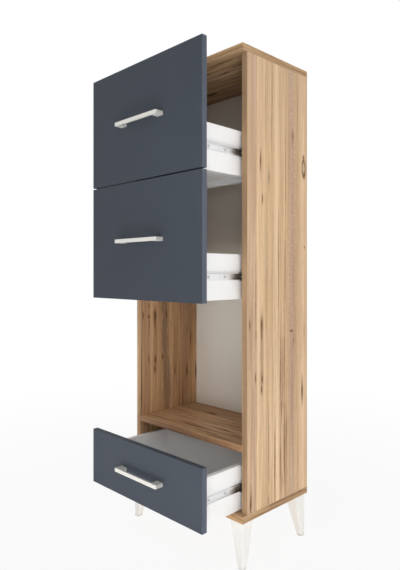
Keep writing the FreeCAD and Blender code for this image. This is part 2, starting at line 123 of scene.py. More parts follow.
left_washes = (
    (oak_light, 0.45, (
        (0.0030, 0.300, 0.720, 0.0070), (0.0330, 0.380, 0.720, 0.0060), (-0.0280, 0.300, 0.720, 0.0070),
    )),
    (oak_smoke, 1.25, (
        (0.0600, 0.300, 0.780, 0.0170), (0.0700, 0.240, 0.560, 0.0150), (0.0480, 0.600, 0.680, 0.0060),
    )),
    (oak_red, 0.75, (
        (0.0190, 0.395, 0.650, 0.0085), (0.1080, 0.330, 0.640, 0.0120), (0.1420, 0.290, 0.460, 0.0130),
        (0.1780, 0.460, 0.700, 0.0110), (0.1300, 0.560, 0.700, 0.0060), (0.1600, 0.330, 0.470, 0.0070),
    )),
    (oak_brown, 0.50, (
        (0.0850, 0.300, 0.470, 0.0060), (0.1230, 0.280, 0.450, 0.0070), (0.1900, 0.560, 0.700, 0.0050),
        (0.1730, 0.440, 0.650, 0.0050), (0.0190, 0.540, 0.620, 0.0040),
    )),
    # Painted shadow: this last wash is a dark line on the left panel's inner face, just behind its front
    # edge.
    (oak_brown, 1.10, ((-0.0385, 0.250, 0.560, 0.0050),)),
)
upright_knots = ((0.2065, 1.0135, 1.0775, 0.0114),)
upright_ripples = ((0.1520, 0.0, 1.6, 0.0240),)
cross_bands = (
    (0.000, oak_plain), (0.020, oak_gold), (0.036, oak_plain), (0.044, oak_mauve),
    (0.050, oak_plain), (0.058, oak_gold), (0.070, oak_mauve), (0.082, oak_mauve),
    (0.092, oak_gold), (0.110, oak_plain), (0.122, oak_mauve), (0.130, oak_gold),
    (0.150, oak_plain), (0.160, oak_mauve), (0.171, oak_mauve), (0.182, oak_gold),
    (0.205, oak_mauve), (0.222, oak_plain), (0.236, oak_mauve), (0.263, oak_plain),
)
cross_cracks = (
    (0.0287, 0.060, 0.104, 0.0032), (-0.0010, -0.070, 0.030, 0.0022), (-0.0300, 0.080, 0.170, 0.0022),
    (0.0126, -0.075, 0.005, 0.0016), (0.1318, -0.080, -0.052, 0.0040), (0.0777, 0.060, 0.110, 0.0018),
    (0.0560, -0.020, 0.060, 0.0012), (0.0950, -0.190, -0.140, 0.0012), (-0.0172, 0.000, 0.120, 0.0018),
    (0.0132, 0.120, 0.190, 0.0024), (0.0020, -0.020, 0.050, 0.0020),
)
cross_washes = (
    (oak_light, 0.65, (
        (0.0430, -0.200, 0.200, 0.0060), (-0.0220, -0.200, 0.060, 0.0035), (0.1100, -0.200, 0.100, 0.0080),
        (0.0880, -0.180, 0.060, 0.0050),
    )),
    (oak_red, 0.80, (
        (0.0287, 0.020, 0.150, 0.0070), (0.0020, -0.120, 0.070, 0.0055), (-0.0290, 0.030, 0.210, 0.0060),
        (0.1318, -0.140, -0.010, 0.0080), (0.0777, 0.010, 0.160, 0.0060), (0.1180, -0.210, -0.060, 0.0060),
        (0.1622, -0.060, 0.120, 0.0060), (0.0662, -0.207, -0.130, 0.0060), (0.0150, 0.080, 0.210, 0.0060),
    )),
    (oak_brown, 0.95, (
        (0.0440, -0.200, 0.010, 0.0030), (0.1050, 0.020, 0.200, 0.0050), (-0.0120, -0.200, -0.060, 0.0045),
        (0.0560, 0.060, 0.207, 0.0070), (0.0950, -0.050, 0.180, 0.0040), (0.1480, -0.160, 0.060, 0.0060),
        (-0.0240, 0.060, 0.200, 0.0040), (0.0050, -0.080, 0.060, 0.0040), (0.1900, -0.190, 0.100, 0.0100),
        (0.0860, 0.060, 0.200, 0.0060),
    )),
)
shelf_washes = cross_washes + (
    (oak_smoke, 0.55, ((-0.0190, -0.900, 0.900, 0.0200), (0.1550, -0.900, 0.900, 0.0450))),
)
cross_knots = ((0.1318, -0.095, -0.040, 0.0060),)

# On a board's edges the pattern goes on. A side panel's front and rear edges add their place along X,
# times the turn. The other boards' edges take their height, moved by the shift.
edge_turn = 1.25
edge_shift = -0.030

# Rates are how fast a noise varies across the grain and along it, per metre.
# Grain layers go from narrow stripes down to short fibres: rates, and the darkest and the lightest tone.
grain_layers = (
    ((70.0, 1.6), 0.84, 1.08), ((150.0, 2.6), 0.76, 1.12),
    ((320.0, 6.0), 0.80, 1.10), ((260.0, 42.0), 0.90, 1.05),
)
first_grain_level = 4.0
# A layer is darkest below the first of these noise values, plain at the second, lightest above the last
grain_stops = (0.33, 0.48, 0.67)
# Its dark tone is brown: the darkest tone to these powers is its green and its blue
green_power, blue_power = 1.25, 1.45

# Stray cracks: the rates of the cells that hold them, the share of the cells that stay empty, and across
# and along the grain how many of a crack's half sizes go into a cell: the least, and how many more at most
cell_rates = (19.0, 4.2)
empty_share = 0.86
stray_across = (22.0, 26.0)
stray_along = (7.0, 14.0)

# A knot: how fast its rings follow each other, their strength and its swing, and the place and width of
# its dark rim, in shares of the knot's size
ring_rate = 19.0
ring_strength, ring_swing = 0.30, 0.14
rim_place, rim_width = 0.66, 0.34

# Between these heights the pattern goes from its lower strength to its upper one
calm_from = 0.35
calm_to = 1.10
even_strength = (1.0, 1.0)
outer_strength = (0.62, 0.42)

# Tints that the pattern is multiplied by, on outer faces, inner ones, and front and rear edges. The darker
# inner tints of the left panel, the top and bottom boards and the shelf are painted shade, for faces in the
# cabinet's shade.
outer_tint = (1.020, 1.025, 1.050)
left_inner_painted_shade = (0.72, 0.63, 0.55)
end_inner_painted_shade = (0.76, 0.72, 0.67)
shelf_painted_shade = (0.95, 0.86, 0.78)
panel_edge_tint = (0.722, 0.672, 0.630)
end_edge_tint = (0.840, 0.774, 0.690)
shelf_edge_tint = (0.740, 0.600, 0.530)

# How thick a board's edge strips are and how wide their hairlines, and how deep bare chipboard begins
strip_thickness = 0.0010
seam_width = 0.00022
oak_sheet = 0.0007
laminate_sheet = 0.0009

# A face looks along an axis, either way, where its normal's share of that axis is over the first value,
# and forward where the normal's Y is under the second. A noise swings about its middle.
squarely = 0.7
forward_normal = -0.5
noise_middle = 0.5

# Places along Y between which the rails darken to painted shade, where they run into the carcass, and how
# high up the legs are scuffed
painted_shade_from = -0.076
painted_shade_full = -0.046
scuff_height = 0.012

# The floor's half size, and how white it looks from near the cabinet to far off
floor_half = 40.0
fade_from, fade_to = 0.4, 2.4
near_white, far_white = 0.90, 1.0

# Strength of the white that is seen, and of the even light that falls on everything
white_strength = 1.0
ambient_strength = 0.44


def shade(colour, share):
    """A colour made darker, or lighter by a share over 1."""
    return tuple(channel * share for channel in colour)


def grey(tone):
    return (tone, tone, tone)


class Graph:
    """A material's nodes, each made and wired in one call. Numbers and sockets are both fine as inputs.
    colour is the colour so far, which lay adds to and finish gives to the shader."""

    def __init__(self, name):
        self.material = bpy.data.materials.new(name)
        self.material.use_nodes = True
        self.tree = self.material.node_tree
        self.tree.nodes.clear()
        self.output = self.add("ShaderNodeOutputMaterial")
        self.shader = self.add("ShaderNodeBsdfPrincipled")
        self.tree.links.new(self.shader.outputs["BSDF"], self.output.inputs["Surface"])
        coordinates = self.add("ShaderNodeTexCoord")
        self.place = coordinates.outputs["Object"]
        self.normal = coordinates.outputs["Normal"]
        self.colour = None

    def add(self, kind, **settings):
        node = self.tree.nodes.new(kind)
        for name, value in settings.items():
            setattr(node, name, value)
        return node

    def feed(self, socket, value):
        if isinstance(value, bpy.types.NodeSocket):
            self.tree.links.new(value, socket)
        elif isinstance(value, (tuple, list)) and socket.type == "RGBA":
            socket.default_value = (*value, 1.0)
        else:
            socket.default_value = value

    def feed_all(self, node, values):
        for socket, value in zip(node.inputs, values):
            self.feed(socket, value)

    def calc(self, operation, *values):
        node = self.add("ShaderNodeMath", operation=operation)
        self.feed_all(node, values)
        return node.outputs[0]

    def product(self, first, second):
        return self.calc("MULTIPLY", first, second)

    def scaled(self, value, times, plus):
        return self.calc("MULTIPLY_ADD", value, times, plus)

    def weighed(self, first, first_share, second, second_share):
        """Two values added, each by its share."""
        return self.scaled(first, first_share, self.product(second, second_share))

    def swing(self, noise, width, about):
        """A noise as a swing to both sides of a value."""
        return self.scaled(self.calc("SUBTRACT", noise, noise_middle), width, about)

    def above(self, value, level):
        return self.calc("GREATER_THAN", value, level)

    def vector(self, operation, *values):
        node = self.add("ShaderNodeVectorMath", operation=operation)
        self.feed_all(node, values)
        return node.outputs["Value" if operation == "LENGTH" else "Vector"]

    def combine(self, x, y, z=0.0):
        node = self.add("ShaderNodeCombineXYZ")
        self.feed_all(node, (x, y, z))
        return node.outputs[0]

    def split(self, vector):
        node = self.add("ShaderNodeSeparateXYZ")
        self.feed(node.inputs[0], vector)
        return node.outputs

    def noise(self, vector, scale, detail, rough=0.5):
        node = self.add("ShaderNodeTexNoise", noise_dimensions="3D")
        self.feed(node.inputs["Vector"], vector)
        self.feed(node.inputs["Scale"], scale)
        self.feed(node.inputs["Detail"], detail)
        self.feed(node.inputs["Roughness"], rough)
        return node.outputs[0]

    def streaks(self, rates, detail, rough):
        """Noise that varies at its own rate along X, Y and Z, per metre."""
        return self.noise(self.vector("MULTIPLY", self.place, rates), 1.0, detail, rough)

    def cells(self, vector, scale, dimensions="3D"):
        node = self.add("ShaderNodeTexVoronoi", voronoi_dimensions=dimensions, feature="F1")
        self.feed(node.inputs["Vector"], vector)
        self.feed(node.inputs["Scale"], scale)
        return node.outputs

    def span(self, value, low, high, start, end):
        """Goes smoothly from start to end while the value goes from low to high."""
        node = self.add("ShaderNodeMapRange", interpolation_type="SMOOTHSTEP")
        self.feed_all(node, (value, low, high, start, end))
        return node.outputs[0]

    def rise(self, value, low, high, top=1.0):
        return self.span(value, low, high, 0.0, top)

    def fall(self, value, low, high, top=1.0, rest=0.0):
        return self.span(value, low, high, top, rest)

    def mix(self, share, first, second, blend="MIX"):
        node = self.add("ShaderNodeMix", data_type="RGBA", blend_type=blend)
        self.feed(node.inputs[0], share)
        self.feed(node.inputs[6], first)
        self.feed(node.inputs[7], second)
        return node.outputs[2]

    def ramp(self, value, stops):
        """The colour at a value. stops holds places from 0 to 1, two or more, each with its colour."""
        stops = list(stops)
        node = self.add("ShaderNodeValToRGB")
        self.feed(node.inputs[0], value)
        elements = node.color_ramp.elements
        while len(elements) < len(stops):
            elements.new(1.0)
        for element, (place, colour) in zip(elements, stops):
            element.position = place
            element.color = (*colour, 1.0)
        return node.outputs[0]

    def lay(self, tone, share, blend="MIX"):
        """Lays a tone over the colour so far."""
        self.colour = self.mix(share, self.colour, tone, blend)

    def cloud(self, colour, noise, low, high, darkest, lightest):
        """Starts with a colour that clouds a little, darkest where the noise is low."""
        tone = self.ramp(noise, [(low, grey(darkest)), (high, grey(lightest))])
        self.colour = self.mix(1.0, tone, colour, "MULTIPLY")

    def bump(self, height, distance, strength):
        node = self.add("ShaderNodeBump")
        self.feed(node.inputs["Height"], height)
        self.feed(node.inputs["Distance"], distance)
        self.feed(node.inputs["Strength"], strength)
        self.tree.links.new(node.outputs[0], self.shader.inputs["Normal"])

    def finish(self, **inputs):
        self.feed(self.shader.inputs["Base Color"], self.colour)
        for name, value in inputs.items():
            self.feed(self.shader.inputs[name.replace("_", " ")], value)
        return self.material


class Board(Graph):
    """A laminated board's material. thin is the axis along which the board is thin, facing is how squarely
    a face looks along each axis, and reach is a point's distance to the board's faces along each."""

    def __init__(self, name, node, thin):
        super().__init__(name)
        self.thin = thin
        self.low, self.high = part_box(node)
        self.facing = self.split(self.vector("ABSOLUTE", self.normal))
        from_middle = self.vector("SUBTRACT", self.place, tuple((self.low + self.high) / 2))
        half_size = tuple((self.high - self.low) / 2)
        self.reach = self.split(self.vector("SUBTRACT", half_size, self.vector("ABSOLUTE", from_middle)))

    def looks_along(self, axis):
        """1 on the faces that look along an axis, either way, and 0 on the others."""
        return self.above(self.facing[axis], squarely)

    def deeper_than(self, sheet):
        """1 where a point lies deeper under the board's faces than the sheet on them is thick."""
        depth = self.calc("MINIMUM", self.calc("MINIMUM", self.reach[X], self.reach[Y]), self.reach[Z])
        return self.above(depth, sheet)

    def seam(self):
        """The hairline on a board's broad faces where its edge strips meet them."""
        nearest = self.calc("MINIMUM", *(self.reach[axis] for axis in (X, Y, Z) if axis != self.thin))
        off = self.calc("ABSOLUTE", self.calc("SUBTRACT", nearest, strip_thickness))
        return self.product(self.fall(off, 0.0, seam_width), self.looks_along(self.thin))

    def chipboard(self):
        """Bare chipboard, as it shows in a drilled hole or a groove."""
        chips = self.split(self.cells(self.place, scale=620.0)["Color"])[0]
        dust = self.noise(self.place, scale=1500.0, detail=3.0)
        return self.mix(self.weighed(dust, 0.4, chips, 0.7), chip_dark, chip_light)


class Oak(Board):
    """The knotty oak pattern, laid on in layers. along and flow are a point's places along and across the
    grain, flat holds both, vivid is how strong the pattern is there, and fray ruffles the outlines of
    its marks. grain and hair are fine noises that several layers share."""

    def __init__(self, node, thin, seed):
        super().__init__("oak_" + node, node, thin)
        self.seed = seed
        self.along, across = self.grain_places()
        sway = self.swing(self.stretched(across, (6.0, 1.9), level=0.0), width=0.010, about=across)
        self.flow = self.swing(self.stretched(sway, (55.0, 11.0), level=0.5), width=0.0032, about=sway)
        self.flat = self.combine(self.flow, self.along)
        self.grain = self.stretched(self.flow, (240.0, 5.0), level=8.0, detail=5.0, rough=0.62)
        self.hair = self.stretched(self.flow, (1500.0, 26.0), level=10.0)
        self.fray = self.swing(self.stretched(self.flow, (420.0, 40.0), level=12.0), width=1.5, about=0.0)
        self.vivid = 1.0

    def grain_places(self):
        """Places along and across the grain. The strips on a board's edges run along the edge."""
        x, y, z = self.split(self.place)
        if self.thin == X:
            return z, self.scaled(self.product(self.facing[Y], x), edge_turn, y)
        at_end = self.looks_along(X)
        along = self.scaled(x, self.calc("SUBTRACT", 1.0, at_end), self.product(y, at_end))
        upright = self.product(self.calc("ADD", z, edge_shift), self.calc("SUBTRACT", 1.0, self.facing[Z]))
        return along, self.scaled(y, self.facing[Z], upright)

    def at_rates(self, source, rates, level=0.0):
        """Places for a noise or cells that vary at one rate across the grain and at another along it."""
        across_rate, along_rate = rates
        across = self.product(source, across_rate)
        along = self.product(self.along, along_rate)
        return self.combine(across, along, self.seed + level)

    def stretched(self, source, rates, level, detail=3.0, rough=0.55):
        """Noise that is drawn out along the grain. level keeps one such noise apart from the others."""
        return self.noise(self.at_rates(source, rates, level), 1.0, detail, rough)

    def near(self, mark):
        """Distance from a mark's middle, 1 at its rim."""
        across, low, high, half = mark
        reach = (high - low) / 2
        scale = (1 / half, 1 / reach, 0.0)
        shift = (-across / half, -(low + high) / 2 / reach, 0.0)
        return self.vector("LENGTH", self.vector("MULTIPLY_ADD", self.flat, scale, shift))

    def nearest(self, marks):
        found = self.near(marks[0])
        for mark in marks[1:]:
            found = self.calc("MINIMUM", found, self.near(mark))
        return found

    def strength(self, low_and_high):
        """The pattern's strength at a point's height, from the strength low down and the one high up."""
        return self.span(self.split(self.place)[Z], calm_from, calm_to, *low_and_high)

    def outer_face(self, outward):
        """1 on the broad face that looks outward, 1 or -1 along the thin axis, and 0 elsewhere."""
        middle = (self.low[self.thin] + self.high[self.thin]) / 2
        beyond = self.product(self.calc("SUBTRACT", self.split(self.place)[self.thin], middle), outward)
        return self.product(self.above(beyond, 0.0), self.looks_along(self.thin))

    def start_with_bands(self, bands):
        """Broad bands, from the side panels' front edges back, which repeat after the panels' depth."""
        behind = self.calc("DIVIDE", self.calc("SUBTRACT", self.flow, panel_front), panel_depth)
        share = self.calc("FRACT", self.calc("ADD", behind, 1.0))
        self.colour = self.ramp(share, [(place / panel_depth, tone) for place, tone in bands])

    def lay_drift(self, tone, noise, low, high, top):
        """A tone that comes and goes with a noise."""
        self.lay(tone, self.product(self.rise(noise, low, high, top), self.vivid))

    def lay_drifts(self):
        """Long drifts of mauve, light and brown over the bands."""
        mauve = self.stretched(self.flow, (24.0, 1.7), level=1.0)
        light = self.stretched(self.flow, (38.0, 2.1), level=2.0)
        smoke = self.stretched(self.flow, (60.0, 3.4), level=3.0, detail=4.0, rough=0.62)
        self.lay_drift(oak_mauve, mauve, low=0.48, high=0.70, top=0.55)
        self.lay_drift(oak_light, light, low=0.50, high=0.70, top=0.65)
        self.lay_drift(oak_brown, smoke, low=0.56, high=0.80, top=0.42)

    def lay_grain(self):
        """The grain layers, thin dark lines and hair-fine fibres."""
        for number, (rates, darkest, lightest) in enumerate(grain_layers):
            layer = self.stretched(self.flow, rates, first_grain_level + number, detail=2.0, rough=0.5)
            dark_tone = (darkest, darkest ** green_power, darkest ** blue_power)
            tones = (dark_tone, grey(1.0), grey(lightest))
            self.lay(self.ramp(layer, zip(grain_stops, tones)), self.vivid, "MULTIPLY")
        line = self.stretched(self.flow, (400.0, 2.0), level=9.0, detail=2.0, rough=0.5)
        self.lay_drift(oak_brown, line, low=0.60, high=0.72, top=0.36)
        self.lay(oak_brown, self.fall(self.hair, 0.30, 0.70, top=0.14))

    def lay_ripples(self, ripples):
        """Short ripples across the grain, inside their marks."""
        zone = self.fall(self.nearest(ripples), 0.5, 1.0, top=0.30)
        ripple = self.fall(self.stretched(self.flow, (70.0, 150.0), level=11.0), 0.42, 0.62)
        self.lay(oak_red, self.product(zone, ripple))

    def lay_washes(self, washes):
        """The placed washes, a little stronger in the darker grain."""
        in_grain = self.fall(self.grain, 0.30, 0.62, rest=0.55)
        for tone, strength, marks in washes:
            near = self.calc("ADD", self.nearest(marks), self.fray)
            self.lay(tone, self.product(self.fall(near, 0.35, 1.25, top=strength), in_grain))

    def placed_cracks(self, marks):
        """The placed cracks, and the halos round them."""
        near = self.calc("ADD", self.nearest(marks), self.fray)
        return self.fall(near, 0.35, 1.20, top=0.9), self.fall(near, 0.9, 2.2, top=0.50)

    def stray_cracks(self):
        """Small cracks and pin knots, in a few cells of a long grid, and the halos round them."""
        grid = self.at_rates(self.flow, cell_rates)
        cell = self.cells(grid, 1.0, "2D")
        lot = self.split(cell["Color"])
        off = self.split(self.vector("SUBTRACT", grid, cell["Position"]))
        wide = self.product(off[0], self.scaled(lot[1], times=stray_across[1], plus=stray_across[0]))
        long = self.product(off[1], self.scaled(lot[2], times=stray_along[1], plus=stray_along[0]))
        near = self.vector("LENGTH", self.combine(wide, long))
        chosen = self.above(lot[0], empty_share)
        crack = self.product(self.fall(near, 0.3, 1.0, top=0.75), chosen)
        halo = self.product(self.fall(near, 0.8, 3.4, top=0.35), chosen)
        return crack, halo

    def placed_knots(self, marks):
        """The placed knots' rings, and the dark rims round them."""
        near = self.scaled(self.fray, times=0.3, plus=self.nearest(marks))
        waves = self.calc("SINE", self.product(near, ring_rate))
        rings = self.scaled(waves, times=ring_swing, plus=ring_strength)
        off_rim = self.calc("ABSOLUTE", self.calc("SUBTRACT", near, rim_place))
        return self.product(self.fall(near, 0.70, 1.25), rings), self.fall(off_rim, 0.0, rim_width, top=0.80)

    def lay_cracks_and_knots(self, cracks, knots):
        """Halos and rings, and over them the dark cracks and rims. Returns where the dark ones are."""
        crack, halo = self.placed_cracks(cracks)
        stray_crack, stray_halo = self.stray_cracks()
        rings, rim = self.placed_knots(knots)
        self.lay(oak_brown, self.calc("MAXIMUM", halo, stray_halo))
        self.lay(oak_brown, rings)
        dark = self.calc("MAXIMUM", self.calc("MAXIMUM", crack, stray_crack), rim)
        self.lay(oak_core, dark)
        return dark

    def lay_pores(self):
        """Fine pores, mostly in the darker grain. Returns where they are."""
        pore = self.fall(self.cells(self.at_rates(self.flow, (1500.0, 95.0)), 1.0)["Distance"], 0.10, 0.30)
        pores = self.product(pore, self.fall(self.grain, 0.35, 0.62, rest=0.1))
        self.lay(oak_brown, self.product(pores, 0.30))
        return pores


def oak(node, thin, seed, outward, bands, cracks, washes, knots, ripples,
        inner_tint_and_painted_shade, inner_strength, edge_tint):
    """Laminated board with a knotty oak pattern, edge strips and a chipboard core. outward is the way its
    outer face looks, 1 or -1 along the thin axis, or 0 for a board between others, which has none."""
    g = Oak(node, thin, seed)
    g.vivid = g.strength(inner_strength)
    face_tint_and_painted_shade = inner_tint_and_painted_shade
    if outward:
        outer = g.outer_face(outward)
        change = g.calc("SUBTRACT", g.strength(outer_strength), g.vivid)
        g.vivid = g.scaled(outer, times=change, plus=g.vivid)
        face_tint_and_painted_shade = g.mix(outer, inner_tint_and_painted_shade, outer_tint)
    g.start_with_bands(bands)
    g.lay_drifts()
    g.lay_grain()
    if ripples:
        g.lay_ripples(ripples)
    g.lay_washes(washes)
    dark = g.lay_cracks_and_knots(cracks, knots)
    pores = g.lay_pores()
    # The tint on the inner faces of the left panel, the top and bottom boards and the shelf is painted
    # shade, for the cabinet's shaded inside; outer faces, the right panel and the edges keep the boards' own
    # tint.
    g.lay(g.mix(g.looks_along(Y), face_tint_and_painted_shade, edge_tint), 1.0, "MULTIPLY")
    seam = g.seam()
    g.lay(oak_brown, g.product(seam, 0.55))
    bare = g.deeper_than(oak_sheet)
    g.lay(g.chipboard(), bare)
    sunk = g.calc("ADD", seam, g.scaled(pores, times=0.35, plus=dark))
    g.bump(g.calc("SUBTRACT", g.product(g.hair, 0.25), sunk), distance=0.00025, strength=0.55)
    rough = g.scaled(g.noise(g.place, scale=14.0, detail=3.0), times=0.10, plus=0.42)
    rough = g.scaled(dark, times=0.25, plus=g.scaled(bare, times=0.3, plus=rough))
    return g.finish(Roughness=rough, Specular_IOR_Level=0.18)


def laminate(node, thin, colour, strip_painted_light, grain_size, grain_height, rough, specular):
    """Plain laminated board: a fine moulded texture, faint mottling, edge strips and a chipboard core."""
    g = Board("laminate_" + node, node, thin)
    mottle = g.noise(g.place, scale=9.0, detail=4.0, rough=0.6)
    g.cloud(colour, mottle, low=0.25, high=0.75, darkest=0.975, lightest=1.025)
    grit = g.noise(g.place, scale=1 / grain_size, detail=3.0, rough=0.6)
    g.lay(shade(colour, 0.55), g.rise(grit, 0.58, 0.80, top=0.05))
    if thin == Y:
        # Painted light: on boards thin along Y, the side strips that look along X are made lighter by this
        # share, for the light from the side.
        g.lay(shade(colour, strip_painted_light), g.looks_along(X))
    seam = g.seam()
    g.lay(shade(colour, 0.45), g.product(seam, 0.5))
    g.lay(g.chipboard(), g.deeper_than(laminate_sheet))
    g.bump(g.calc("SUBTRACT", grit, seam), grain_height, strength=0.6)
    patches = g.noise(g.place, scale=22.0, detail=3.0)
    dull = g.scaled(patches, times=0.12, plus=rough - 0.06)
    dull = g.scaled(grit, times=0.10, plus=dull)
    return g.finish(Roughness=dull, Specular_IOR_Level=specular)


def back_sheet_board(node):
    """Thin fibreboard: a pale laminated face to the front, bare brown fibre to the rear and on the edges."""
    g = Graph("fibreboard_" + node)
    weave = g.noise(g.place, scale=850.0, detail=3.0, rough=0.6)
    clouds = g.noise(g.place, scale=5.0, detail=4.0, rough=0.55)
    g.cloud(back_sheet, clouds, low=0.2, high=0.8, darkest=0.965, lightest=1.03)
    g.lay(shade(back_sheet, 0.6), g.rise(weave, 0.55, 0.8, top=0.10))
    fibre = g.noise(g.place, scale=420.0, detail=6.0, rough=0.75)
    strand = g.streaks(rates=(300.0, 300.0, 60.0), detail=3.0, rough=0.7)
    bare = g.mix(g.weighed(strand, 0.5, fibre, 0.6), shade(fibre_brown, 0.55), shade(fibre_brown, 1.5))
    forward = g.calc("LESS_THAN", g.split(g.normal)[Y], forward_normal)
    g.colour = g.mix(forward, bare, g.colour)
    g.bump(weave, distance=0.00012, strength=0.5)
    rough = g.scaled(forward, times=-0.28, plus=g.scaled(fibre, times=0.15, plus=0.72))
    return g.finish(Roughness=rough, Specular_IOR_Level=0.25)


def metal(name, colour, rough, brush_rates, brush_share, tint_share, bump_height, metallic=1.0):
    """Metal with a fine directional finish: brush_rates holds how fast it varies along X, Y and Z."""
    g = Graph(name)
    brush = g.streaks(brush_rates, detail=4.0, rough=0.65)
    shading = g.weighed(g.noise(g.place, scale=60.0, detail=3.0, rough=0.6), 0.5, brush, 0.5)
    g.colour = g.mix(g.fall(shading, 0.3, 0.7, top=tint_share), colour, shade(colour, 0.62))
    g.bump(brush, bump_height, strength=0.5)
    return g.finish(Roughness=g.swing(brush, width=brush_share, about=rough), Metallic=metallic)


def zinc_plate(name, colour, rough, painted_shade_span=None):
    """Bright zinc on rolled sheet: long rolling lines, a faint spangle and dulled patches. The optional last
    argument holds the places along Y between which the rail darkens to painted shade, for the shade and dark
    reflections in the carcass."""
    g = Graph(name)
    rolled = g.streaks(rates=(1400.0, 24.0, 1400.0), detail=3.0, rough=0.6)
    spangle = g.split(g.cells(g.place, scale=480.0)["Color"])[0]
    patch = g.noise(g.place, scale=38.0, detail=4.0, rough=0.6)
    tone = g.weighed(spangle, 0.35, rolled, 0.65)
    g.colour = g.mix(g.fall(tone, 0.15, 0.75, top=0.12), colour, shade(colour, 0.7))
    metallic = 1.0
    # Painted shade: the rail darkens towards its rear, for the shade and dark reflections where it runs into
    # the carcass.
    if painted_shade_span:
        shade_place = g.swing(patch, width=0.02, about=g.split(g.place)[Y])
        painted_shade_share = g.rise(shade_place, *painted_shade_span, top=0.97)
        g.lay(rail_painted_shade, painted_shade_share)
        metallic = g.scaled(painted_shade_share, times=-0.7, plus=1.0)
    dull = g.scaled(tone, times=0.10, plus=rough - 0.05)
    dull = g.scaled(g.rise(patch, 0.4, 0.75), times=0.14, plus=dull)
    g.bump(rolled, distance=0.00004, strength=0.4)
    return g.finish(Roughness=dull, Metallic=metallic)


def moulded_plastic(name, colour):
    """Moulded plastic: a fine eroded texture, slight clouding, and scuffs low down."""
    g = Graph(name)
    pit = g.noise(g.place, scale=1300.0, detail=4.0, rough=0.65)
    clouds = g.noise(g.place, scale=16.0, detail=3.0)
    g.cloud(colour, clouds, low=0.25, high=0.75, darkest=0.97, lightest=1.02)
    low_down = g.fall(g.split(g.place)[Z], 0.0, scuff_height)
    scuff = g.product(low_down, g.rise(g.noise(g.place, scale=160.0, detail=4.0, rough=0.7), 0.45, 0.7))
    g.lay(shade(colour, 0.55), g.product(scuff, 0.35))
    g.bump(pit, distance=0.00010, strength=0.5)
    rough = g.scaled(pit, times=0.16, plus=g.scaled(scuff, times=0.2, plus=0.48))
    return g.finish(Roughness=rough, Specular_IOR_Level=0.20)


def turned_beech(name):
    """Beech dowels: pale wood with short dark flecks along X."""
    g = Graph(name)
    grain = g.streaks(rates=(60.0, 900.0, 900.0), detail=4.0, rough=0.6)
    flecks = g.cells(g.vector("MULTIPLY", g.place, (220.0, 1400.0, 1400.0)), scale=1.0)["Distance"]
    g.colour = g.mix(g.fall(grain, 0.3, 0.7, top=0.45), beech, shade(beech, 0.6))
    g.lay(oak_brown, g.product(g.fall(flecks, 0.1, 0.35), 0.3))
    g.bump(grain, distance=0.00015, strength=0.5)
    return g.finish(Roughness=g.scaled(grain, times=0.2, plus=0.5), Specular_IOR_Level=0.3)


def dress(node, material):
    """Gives a CAD node's slots the finished material."""
    for slot in nodes[node].material_slots:
        slot.material = material


# Carcass
standing_board = dict(
    thin=X, seed=3.0, bands=upright_bands, knots=upright_knots, ripples=upright_ripples,
    edge_tint=panel_edge_tint)
lying_board = dict(
    thin=Z, seed=11.0, bands=cross_bands, cracks=cross_cracks, knots=cross_knots, ripples=(),
    inner_strength=even_strength)
end_board = dict(lying_board, washes=cross_washes, inner_tint_and_painted_shade=end_inner_painted_shade, edge_tint=end_edge_tint)
oak_boards = {
    "side_panel_left": dict(
        standing_board, outward=-1, cracks=upright_cracks + left_dots, washes=left_washes,
        inner_tint_and_painted_shade=left_inner_painted_shade, inner_strength=even_strength),
    "side_panel_right": dict(
        standing_board, outward=1, cracks=upright_cracks + right_lines, washes=right_washes,
        inner_tint_and_painted_shade=outer_tint, inner_strength=outer_strength),
    "top_board": dict(end_board, outward=1),
    "bottom_board": dict(end_board, outward=-1),
    "niche_shelf": dict(
        lying_board, outward=0, washes=shelf_washes, inner_tint_and_painted_shade=shelf_painted_shade, edge_tint=shelf_edge_tint),
}
for node, pattern in oak_boards.items():
    dress(node, oak(node, **pattern))
dress("back_panel", back_sheet_board("back_panel"))

zinc_fitting = metal("zinc_fitting", dull_zinc, rough=0.34, brush_rates=(700.0, 700.0, 700.0),
                     brush_share=0.22, tint_share=0.4, bump_height=0.00006)
handle_metal = metal("handle_metal", satin_metal, rough=0.42, brush_rates=(30.0, 1600.0, 1600.0),
                     brush_share=0.16, tint_share=0.16, bump_height=0.00003, metallic=0.35)
slide_steel = zinc_plate("slide_steel", bright_zinc, rough=0.30)
rail_steel = zinc_plate("rail_steel", bright_zinc, rough=0.34, painted_shade_span=(painted_shade_from, painted_shade_full))
cage_steel = zinc_plate("cage_steel", dark_cage_steel, rough=0.40)
leg_plastic = moulded_plastic("leg_plastic", leg_white)

dress("carcass_dowels", turned_beech("dowel_wood"))
for node in ("carcass_cam_fittings", "leg_bolts", "track_screws"):
    dress(node, zinc_fitting)
for end in ("front", "rear"):
    for side in ("left", "right"):
        dress("leg_" + end + "_" + side, leg_plastic)

# Drawers
# The fronts' side strips get painted light, 1.6 times lighter than the face
front_finish = dict(colour=anthracite, strip_painted_light=1.60, grain_size=0.0011, grain_height=0.00008,
                    rough=0.55, specular=0.09)
white_finish = dict(colour=white_sheet, strip_painted_light=1.0, grain_size=0.0016, grain_height=0.00010,
                    rough=0.42, specular=0.40)
white_boards = {"wall_left": X, "wall_right": X, "wall_rear": Y, "bottom": Z}
for drawer in ("upper", "middle", "lower"):
    dress(drawer + "_front", laminate(drawer + "_front", Y, **front_finish))
    for board, thin in white_boards.items():
        node = drawer + "_" + board
        dress(node, laminate(node, thin, **white_finish))
    for part in ("cam_fittings", "wall_screws", "handle_screws", "rail_screws"):
        dress(drawer + "_" + part, zinc_fitting)
    dress(drawer + "_handle", handle_metal)
    dress(drawer + "_ball_cages", cage_steel)
    for side in ("left", "right"):
        dress(drawer + "_rail_" + side, rail_steel)
        dress(drawer + "_track_" + side, slide_steel)


